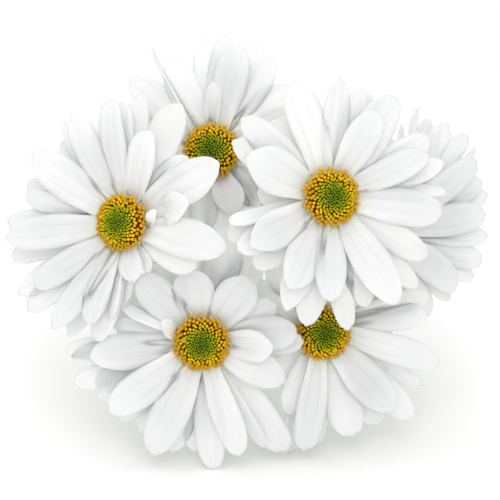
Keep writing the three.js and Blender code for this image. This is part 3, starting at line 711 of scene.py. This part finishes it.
# its rings from foot to lip, as shares of its radius and height
BUD_LEVELS = np.array(((0.64, 0.0), (0.84, 0.4), (1.0, 0.72), (0.7, 0.93), (0.08, 1.0)))
OPEN_LEVELS = np.array(((0.5, 0.0), (0.62, 0.5), (1.2, 1.04), (0.42, 0.7), (0.05, 0.6)))
BUD_TONES = np.array((0, 0.5, 0.8, 1, 1))  # dark foot to light lip, ring by ring; the dark foot is painted shade
OPEN_TONES = np.array((0, 0.45, 1, 0.8, 0.75))
FLORET_LOBES = np.array((0, 0.05, 0.45, 0.1, 0))  # how far an open floret's rings draw into five points
LOBES_RISE = 0.35
# (radius, height) from the middle underneath, by the edge, to the middle on top
DOME = ((0.05, 0.7), (5.2, 0.7), (6.3, 1.3), (6.4, 2.2), (6.0, 2.8), (5.0, 3.7), (3.2, 4.7), (1.6, 5.15),
        (0.05, 5.3))
DOME_TOP = np.array(DOME[:2:-1])  # from its middle out
SEAT = ((0.05, -2.9), (5.9, -2.9), (6.5, -1.6), (6.2, 0.1), (5.4, 0.6), (0.05, 0.6))
TURNED_POINTS = 48
TURN = np.arange(TURNED_POINTS) * 2 * math.pi / TURNED_POINTS


def flower_axes(normal):
    """Two unit vectors square to the way that the flower faces, and that way, right-handed."""
    side = flattened(RIGHT, normal)
    return np.stack([side, np.cross(normal, side), normal])


def turned(profile):
    """A profile of (radius, height) turned round Z: (r cos a, r sin a, z), as one tube of rings."""
    radius, height = np.array(profile, float).T[:, :, None, None]
    return (spoke(TURN) * radius + Z_AXIS * height)[None]


def florets(chance):
    """Florets on a golden-angle spiral, the k-th at radius field x ((k + 0.5) / count)^spread on the dome.

    Each is a tube of five rings. A bud's rings close over its top. An open floret flares, then dips to its
    throat, and its lip is r (1 + 0.45 cos 5a) wide, so that it ends in five points. They lean outwards more
    and more towards the rim."""
    share = ((np.arange(FLORETS) + 0.5) / FLORETS) ** FLORET_SPREAD
    out = spoke(np.arange(FLORETS) * FLORET_SPIRAL)
    beside = np.cross(Z_AXIS, out)
    height = np.interp(share * FLORET_FIELD, *DOME_TOP.T) - FLORET_SUNK
    foot = out * (share * FLORET_FIELD)[:, None] + Z_AXIS * height[:, None]
    lean = FLORET_LEAN * eased(share, *FLORET_LEANS) ** FLORET_LEAN_POWER
    lean = (lean + chance.normal(0, FLORET_STRAY, FLORETS))[:, None]
    twist = chance.normal(0, FLORET_STRAY, FLORETS)[:, None]
    axis = unit(out * np.sin(lean) + Z_AXIS * np.cos(lean) + beside * twist)
    side = flattened(out, axis)
    other = np.cross(axis, side)
    age = share + chance.normal(0, FLORET_AGE_SCATTER, FLORETS)
    opened = eased(age, *FLORET_OPENS)[:, None, None]
    grown = eased(share, *FLORET_GROWS)
    tall = (lerp(*FLORET_HEIGHTS, grown) * chance.uniform(*FLORET_UNEVEN, FLORETS))[:, None, None]
    wide = lerp(*FLORET_RADII, grown)[:, None, None]
    angle = np.arange(FLORET_POINTS) * 2 * math.pi / FLORET_POINTS
    levels = lerp(BUD_LEVELS, OPEN_LEVELS, opened)
    points = opened * (FLORET_LOBES[:, None] * np.cos(5 * angle))
    radius = wide * levels[:, :, :1] * (1 + points)
    rise = tall * (levels[:, :, 1:] + LOBES_RISE * points)
    foot, axis, side, other = (x[:, None, None] for x in (foot, axis, side, other))
    rings = foot + axis * rise[..., None] + circled(side, other, radius, angle)
    shape = rings.shape[:3]
    ripe = np.broadcast_to(share[:, None, None], shape)
    tint = np.broadcast_to(chance.uniform(0, 1, FLORETS)[:, None, None], shape)
    tone = np.broadcast_to(lerp(BUD_TONES[:, None], OPEN_TONES[:, None], opened), shape)
    return rings, {"ripe": ripe, "tint": tint, "rise": tone}


def joined(shapes):
    """Several (points, faces) as one."""
    points = np.concatenate([shape[0] for shape in shapes])
    starts = np.cumsum([0] + [len(shape[0]) for shape in shapes[:-1]])
    faces = [[k + start for k in face] for shape, start in zip(shapes, starts) for face in shape[1]]
    return points, faces


def make_disc(name, centre, axes, finish, chance):
    """The dome and its florets, as one piece."""
    rings, marks = florets(chance)
    points, faces = joined([ring_mesh(turned(DOME)), ring_mesh(rings)])
    share = np.repeat(np.clip(np.array(DOME)[:, 0] / FLORET_FIELD, 0, 1), TURNED_POINTS)
    # The dome gets the florets' foot colour, painted dark as the shade between them.
    own = {"ripe": share, "tint": 0 * share + 0.5, "rise": 0 * share}
    marks = {key: np.concatenate([values, marks[key].ravel()]) for key, values in own.items()}
    shape = points @ axes + centre, faces
    add_piece(f"{name}_florets", shape, finish, "disc_florets", [f"{name}_disc"], **marks)


def make_seat(name, centre, axes, finish):
    """The pale seat between the disc and the cup, that the petals' claws grow from."""
    points, faces = ring_mesh(turned(SEAT))
    add_piece(f"{name}_seat", (points @ axes + centre, faces), finish, "bracts", [f"{name}_petals"])


BRACT_ROWS = ((0.02, 0.66, 0.5), (0.26, 0.9, 0.32), (0.5, 1.06, 0.14))  # from, to on the cup; stands off it
BRACTS_IN_ROW = 13
BRACT_UNEVEN = (-0.03, 0.03)  # chance, added to its length
BRACT_HALF_WIDTH = 1.55
BRACT_FOOT_WIDTH = 0.55
BRACT_WIDEST_AT = 0.35
BRACT_TIP_HALF_WIDTH = 0.03
BRACT_MOST_TURN = 0.33  # half its angle round the cup
BRACT_CROWN = 0.22  # its middle line over its sides
BRACT_TIP_LIFT = 0.35
BRACT_HALF_THICKNESS = 0.12
BRACT_GRID = (13, 9)
CUP_LEVELS = 9
DRAWN_IN = (0.02, 0.02, 1)  # nearly to the axis


def cup_point(share, angle):
    """A point on the cup, a quarter ellipse from its foot to its rim turned round Z, and the way out."""
    a = share * math.pi / 2
    radius = lerp(CUP_FOOT[0], CUP_RIM[0], np.sin(a))
    height = lerp(CUP_RIM[1], CUP_FOOT[1], np.cos(a))
    out = spoke(angle)
    point = out * radius[..., None] + Z_AXIS * height[..., None]
    return point, unit(out * np.sin(a)[..., None] - Z_AXIS * np.cos(a)[..., None])


def make_bracts(name, centre, axes, finish, chance):
    """A cup and three rows of overlapping scales. A scale is widest at a third of its length, and its width
    falls to its tip as (1 - u^2.2)^0.8. It stands off the cup by its row's distance + crown x (1 - v^2) +
    lift x u^4."""
    u = np.linspace(0, 1, BRACT_GRID[0])[None, :, None]
    v = np.linspace(-1, 1, BRACT_GRID[1])[None, None, :]
    order = np.arange(BRACTS_IN_ROW)[:, None, None]
    shapes, along, across = [], [], []
    for row, (low, high, stand) in enumerate(BRACT_ROWS):
        uneven = chance.uniform(*BRACT_UNEVEN, (BRACTS_IN_ROW, 1, 1))
        share = lerp(low, high, u) + uneven * u + 0 * v
        widening = lerp(BRACT_FOOT_WIDTH, 1, smooth(u / BRACT_WIDEST_AT))
        wide = BRACT_HALF_WIDTH * widening * np.maximum(1 - u**2.2, 0.0) ** 0.8 + BRACT_TIP_HALF_WIDTH
        radius = lerp(CUP_FOOT[0], CUP_RIM[0], np.sin(share * math.pi / 2))
        aside = v * np.minimum(wide / radius, BRACT_MOST_TURN)
        place, out = cup_point(share, (order + 0.5 * row) * 2 * math.pi / BRACTS_IN_ROW + aside)
        off = stand + BRACT_CROWN * (1 - v**2) + BRACT_TIP_LIFT * u**4
        half = np.broadcast_to(BRACT_HALF_THICKNESS * (1 - 0.6 * v**4), share.shape)
        shapes.append(blade_mesh(place + out * off[..., None], out, half))
        along.append(per_skin(u + 0 * share))
        across.append(per_skin(v + 0 * share))
    cup = cup_point(*np.broadcast_arrays(np.linspace(0, 1, CUP_LEVELS)[:, None], TURN))[0]
    cup = np.concatenate([cup[:1] * DRAWN_IN, cup, cup[-1:] * DRAWN_IN])[None]
    shapes.append(ring_mesh(cup))
    plain = np.zeros(cup[..., 0].size)
    points, faces = joined(shapes)
    add_piece(
        f"{name}_scales", (points @ axes + centre, faces), finish, "bracts", [f"{name}_bracts"],
        along=np.concatenate([*along, plain]), across=np.concatenate([*across, plain]),
    )


# ---- stalks and stem ----

RIB_POINTS = 56
STALK_LEVELS = 44
STEM_LEVELS = 120
END_RINGS = np.array((0.93, 0.8, 0.45, 0.02))  # the rings that close an end, as shares of the last one
STALK_RIBS = (8, 0.055, 1.5)  # how many, their depth over the radius, how far they wind in radians
STEM_RIBS = (9, 0.05, 2.2)
STALK_SLIMMEST = 0.92  # of its radius
STALK_SWELLS = ((0, 0.28, 0.09), (1, 0.22, 0.12))  # where on its length, by how much, how far either way
STEM_SLIMMEST = 0.95
STEM_SWELLS_BY = 0.1
STEM_SWELL_LENGTH = 0.016
STEM_WAVER = (0.03, 9)  # by how much, and the turns of its sine in radians


def swept(line, tangent, radius, ribs):
    """Rings round a line: radius x (1 + depth cos(count a + winding x share)) at each angle a, closed by
    rings that shrink to the line at both ends. Returns the rings and, for each point, the share of the
    length, how high on a rib and how far inside a cut end it is."""
    count, depth, winding = ribs
    share = np.linspace(0, 1, len(line))
    side = flattened(np.broadcast_to(UP, tangent.shape), tangent)
    angle = np.arange(RIB_POINTS) * 2 * math.pi / RIB_POINTS
    wave = np.cos(count * angle + winding * share[:, None])
    wide = radius[:, None] * (1 + depth * wave)
    rings = line[:, None] + circled(side[:, None], np.cross(tangent, side)[:, None], wide, angle)
    closing = END_RINGS[:, None, None]
    begin, end = lerp(line[0], rings[:1], closing[::-1]), lerp(line[-1], rings[-1:], closing)
    more = len(END_RINGS)
    along = np.pad(share, more, mode="edge")
    rib = np.pad(wave * 0.5 + 0.5, ((more, more), (0, 0)))
    cut = np.concatenate([1 - END_RINGS[::-1], 0 * share, 1 - END_RINGS])
    marks = {"along": np.repeat(along, RIB_POINTS), "rib": rib.ravel(), "cut": np.repeat(cut, RIB_POINTS)}
    return np.concatenate([begin, rings, end])[None], marks


def make_stalk(name, centre, normal, joins, finish):
    """A flower's stalk, a Bezier from its cup to the side of the stem, thicker at both ends."""
    top = centre - normal * (CUP_DEPTH + SEAT_GAP / 2)
    foot, stemward = (x[0] for x in stem_line([joins]))
    reach = np.linalg.norm(foot - top)
    outward = (top - foot) - stemward * dot(top - foot, stemward)
    spread = STALK_SPREAD if joins else 0.0
    leaving = foot - stemward * STALK_HANDLES[1] * reach + outward * spread
    share = np.linspace(0, 1, STALK_LEVELS)
    line, tangent = bezier((top, top - normal * STALK_HANDLES[0] * reach, leaving, foot), share)
    swell = sum(by * bump(share - at, length) for at, by, length in STALK_SWELLS)
    rings, marks = swept(line, tangent, STALK_RADIUS * (STALK_SLIMMEST + swell), STALK_RIBS)
    add_piece(f"{name}_ribbed_stalk", ring_mesh(rings), finish, "stalks", [f"{name}_stalk"], **marks)


def make_stem(finish):
    """The main stem along its route, swollen a little where each stalk and leaf leaves it."""
    share = np.linspace(0, 1, STEM_LEVELS)
    line, tangent = stem_line(share)
    joints = [head[2] for head, _ in FLOWERS.values()] + [leaf[0] for leaf in LEAVES.values()]
    swell = STEM_SWELLS_BY * np.clip(sum(bump(share - joint, STEM_SWELL_LENGTH) for joint in joints), 0, 1)
    waver = STEM_WAVER[0] * np.sin(STEM_WAVER[1] * share)
    rings, marks = swept(line, tangent, STEM_RADIUS * (STEM_SLIMMEST + swell + waver), STEM_RIBS)
    add_piece("main_stem_ribbed", ring_mesh(rings), finish, "stem", ["main_stem"], **marks)


# ---- leaves ----

LEAF_GRID = (97, 33)
LEAF_OUTLINE = np.array((
    (0, 0.07), (0.16, 0.07), (0.28, 0.62), (0.38, 0.5), (0.5, 1), (0.6, 0.72), (0.74, 0.86), (0.84, 0.42),
    (1, 0.05),
))
LEAF_LOBES = (0.28, 0.5, 0.74)
LEAF_TEETH = 15
TOOTH_DEPTH = 0.13  # the next lengths are shares of the leaf's
TEETH_FULL_AT = 0.3
LEAF_UNEVEN = 0.06  # one side is wider by up to this
LEAF_SWEEP = 0.176
LEAF_SWEEPS = (0.14, 0.34)
LOBE_VEIN_WIDTH = 0.012
LOBE_VEINS_FULL_AT = 0.2
PUCKER_LENGTH = 0.23  # from one lobe to the next
PUCKERS_FULL_AT = 0.25
LEAF_WAVES_FULL_AT = 0.3
LEAF_THINNED_BY = 0.22
MIDRIB_WIDTH = 0.55  # from here on millimetres
VEIN_DEPTH = 0.28
PUCKER_HEIGHT = 0.28
LEAF_WAVE_HEIGHT = 0.5
LOW_LEAF_WAVE_HEIGHT = 0.15
LEAF_WAVE_PHASE = (0, 6)
LEAF_WAVE_RATE = 9
LEAF_WAVE_OFFSET = 1.3  # between its sides
LEAF_FOOT_INSIDE = 0.8  # of the stem's radius
BLADE_THINNESS = 0.55  # between its veins, of its thickness
FOOT_THICKER_BY = 1.1
LEAF_EDGE_THINS_BY = 0.45
LEAF_CLEARANCE = 0.05  # over the table


def leaf_blade(on, around, reach, width, chance):
    """A leaf's middle surface on u (foot to tip) and v (side to side).

    Its midrib is a cubic Bezier. Its half width is the outline's, eased between the outline's points by
    3s^2 - 2s^3, less depth x tooth^1.5 x v^2 in the teeth. Its rows sweep forward by |v|, so that its lobes
    point to the tip. Veins sink in along the midrib and the lobes' rows, the blade puckers between them by
    cos(2 pi u / length) x sin(pi |v|), and its edges wave by v^2 x sin."""
    foot, stemward = (x[0] for x in stem_line([on]))
    angle = math.radians(around)
    outward = flattened(RIGHT * math.sin(angle) + UP * math.cos(angle), stemward)
    foot = foot + outward * STEM_RADIUS * LEAF_FOOT_INSIDE
    low = reach[2] is None
    tip_height = LEAF_THICKNESS / 2 if low else foot[2] + reach[2]
    tip = np.array((foot[0] + reach[0], foot[1] + reach[1], tip_height))
    length = np.linalg.norm(tip - foot)
    knee = lerp(foot, tip, LEAF_KNEE)
    knee[2] = LOW_LEAF_KNEE_HEIGHT if low else knee[2] + LEAF_ARCH * length
    leaving = foot + outward * LEAF_START[0] * length - stemward * LEAF_START[1] * length
    u = np.linspace(0, 1, LEAF_GRID[0])[:, None]
    v = np.linspace(-1, 1, LEAF_GRID[1])[None, :]
    edge = np.abs(v)
    knots, shares = LEAF_OUTLINE.T
    piece = np.clip(np.searchsorted(knots, u, side="right") - 1, 0, len(knots) - 2)
    step = (u - knots[piece]) / (knots[piece + 1] - knots[piece])
    outline = lerp(shares[piece], shares[piece + 1], smooth(step))
    teeth = 1 - TOOTH_DEPTH * smooth(u / TEETH_FULL_AT) * ((u * LEAF_TEETH) % 1) ** 1.5 * edge**2
    half = width / 2 * outline * teeth * (1 + LEAF_UNEVEN * np.sign(v) * math.sin(3 * on))
    t = np.clip(u + LEAF_SWEEP * edge * eased(u, *LEAF_SWEEPS) * (1 - u), 0, 1)
    line, tangent = bezier((foot, leaving, knee, tip), t)
    face = flattened(np.broadcast_to(Z_AXIS, tangent.shape), tangent)
    sideways = np.cross(tangent, face)
    midrib = bump(v * outline * width / 2, MIDRIB_WIDTH)
    side_veins = sum(bump(u - lobe, LOBE_VEIN_WIDTH) for lobe in LEAF_LOBES) * (1 - edge**3)
    vein = np.clip(midrib + side_veins * smooth(u / LOBE_VEINS_FULL_AT), 0, 1)
    pucker = np.cos(2 * math.pi * (u - LEAF_LOBES[0]) / PUCKER_LENGTH) * np.sin(math.pi * edge)
    pucker = PUCKER_HEIGHT * pucker * smooth(u / PUCKERS_FULL_AT)
    phase = chance.uniform(*LEAF_WAVE_PHASE) + LEAF_WAVE_OFFSET * np.sign(v)
    wave = edge**2 * np.sin(LEAF_WAVE_RATE * u + phase) * smooth(u / LEAF_WAVES_FULL_AT)
    wave = wave * (LOW_LEAF_WAVE_HEIGHT if low else LEAF_WAVE_HEIGHT)
    raised = LEAF_SIDES_RAISED * half * edge - VEIN_DEPTH * vein - pucker + wave
    middle = line + sideways * (v * half)[..., None] + face * raised[..., None]
    thick = lerp(BLADE_THINNESS, 1, vein) + FOOT_THICKER_BY * (1 - smooth(u / LEAF_THINNED_BY))
    thin = LEAF_THICKNESS / 2 * thick * (1 - LEAF_EDGE_THINS_BY * edge**4)
    lowest = np.maximum(middle[..., 2], thin + LEAF_CLEARANCE)
    middle = np.concatenate([middle[..., :2], lowest[..., None]], axis=-1)
    return middle, face, thin, vein, np.broadcast_to(v, t.shape)


def make_leaf(name, leaf, finish, chance):
    """One leaf as a piece."""
    middle, face, thin, vein, across = (x[None] for x in leaf_blade(*leaf, chance))
    shape = blade_mesh(middle, face, thin)
    marks = {"vein": per_skin(vein), "across": per_skin(across), "front": side_of(thin)}
    add_piece(f"{name}_blade", shape, finish, "leaves", [name], **marks)


# ---- the bunch ----

FLOWER_SEED = 100
LEAF_SEED = 200


def make_bunch():
    """Every flower, the stem and the leaves."""
    petals, disc, seat = petal_finish(), disc_finish(), base_finish()
    bracts, leaf = bract_finish(), leaf_finish()
    stalk = stalk_finish("stalk_green", "8aa353", "5a7434", "8d9a55")
    stem = stalk_finish("stem_green", "7d9748", "4f692f", "8a7c4a")
    for seed, (name, (head, petal_table)) in enumerate(FLOWERS.items(), FLOWER_SEED):
        chance = np.random.default_rng(seed)
        place, turns, joins = head
        centre, normal = seen(*place), facing(turns)
        axes = flower_axes(normal)
        make_petals(name, centre, normal, petal_table, petals, chance)
        make_disc(name, centre, axes, disc, chance)
        make_seat(name, centre, axes, seat)
        make_bracts(name, centre, axes, bracts, chance)
        make_stalk(name, centre, normal, joins, stalk)
    make_stem(stem)
    for seed, (name, leaf_row) in enumerate(LEAVES.items(), LEAF_SEED):
        make_leaf(name, leaf_row, leaf, np.random.default_rng(seed))


# ---- floor, light and camera ----

FLOOR_SIZE = 6000.0
WORLD_STRENGTH = 0.74
LAMPS = {  # place, size, watts
    "soft_box_above": ((-150.0, -150.0, 1400.0), 1600.0, 7.5),
    "soft_box_front": ((60.0, -1250.0, 900.0), 900.0, 6.5),
}


def make_floor():
    """A wide, nearly white table top, barely mottled."""
    finish, start = new_finish("table_white")
    clouds = grain(start, 60.0)
    white, rough = clouds.mix("fafafa", "fdfdfd"), 0.8 + clouds * 0.1
    surface(start, Base_Color=white, Roughness=rough, Specular_IOR_Level=0.1)
    corners = np.array(((-1, -1, 0), (1, -1, 0), (1, 1, 0), (-1, 1, 0)), float) * FLOOR_SIZE / 2
    mesh = bpy.data.meshes.new("table_top")
    mesh.from_pydata(corners * MM, [], [(0, 1, 2, 3)])
    mesh.materials.append(finish)
    floor = added("table_top", mesh)


def aim(thing, place, x_axis, y_axis, z_axis):
    """Puts a lamp or camera there, with those directions as its own axes. It looks along -z."""
    matrix = np.eye(4)
    matrix[:3, :3] = np.stack([x_axis, y_axis, z_axis], axis=1)
    matrix[:3, 3] = np.asarray(place) * MM
    thing.matrix_world = Matrix(matrix.tolist())


def make_lamp(name, place, size, watts):
    """A square soft box of that size there, facing the middle of the bunch."""
    lamp = bpy.data.lights.new(name, "AREA")
    lamp.size = size * MM
    lamp.energy = watts
    back = unit(np.array(place) - MIDDLE)
    side = unit(np.cross(Z_AXIS, back))
    aim(added(name, lamp), place, side, np.cross(back, side), back)


def make_light():
    """White surroundings, a soft box above the bunch and a smaller one in front of it."""
    world = bpy.data.worlds.new("studio")
    bpy.context.scene.world = world
    world.use_nodes = True
    background = world.node_tree.nodes["Background"]
    background.inputs["Color"].default_value = shade("ffffff")
    background.inputs["Strength"].default_value = WORLD_STRENGTH
    for name, (place, size, watts) in LAMPS.items():
        make_lamp(name, place, size, watts)
    bpy.context.scene.view_settings.view_transform = "Standard"


def make_camera():
    """At the eye's distance, looking back along FORWARD, so down at the lying tilt."""
    camera = bpy.data.cameras.new("camera")
    camera.sensor_width = SENSOR_WIDTH
    camera.lens = SENSOR_WIDTH * EYE_DISTANCE / PICTURE_WIDTH
    seer = added("camera", camera)
    aim(seer, MIDDLE + FORWARD * EYE_DISTANCE, RIGHT, UP, FORWARD)
    bpy.context.scene.camera = seer


make_bunch()
make_floor()
make_light()
make_camera()
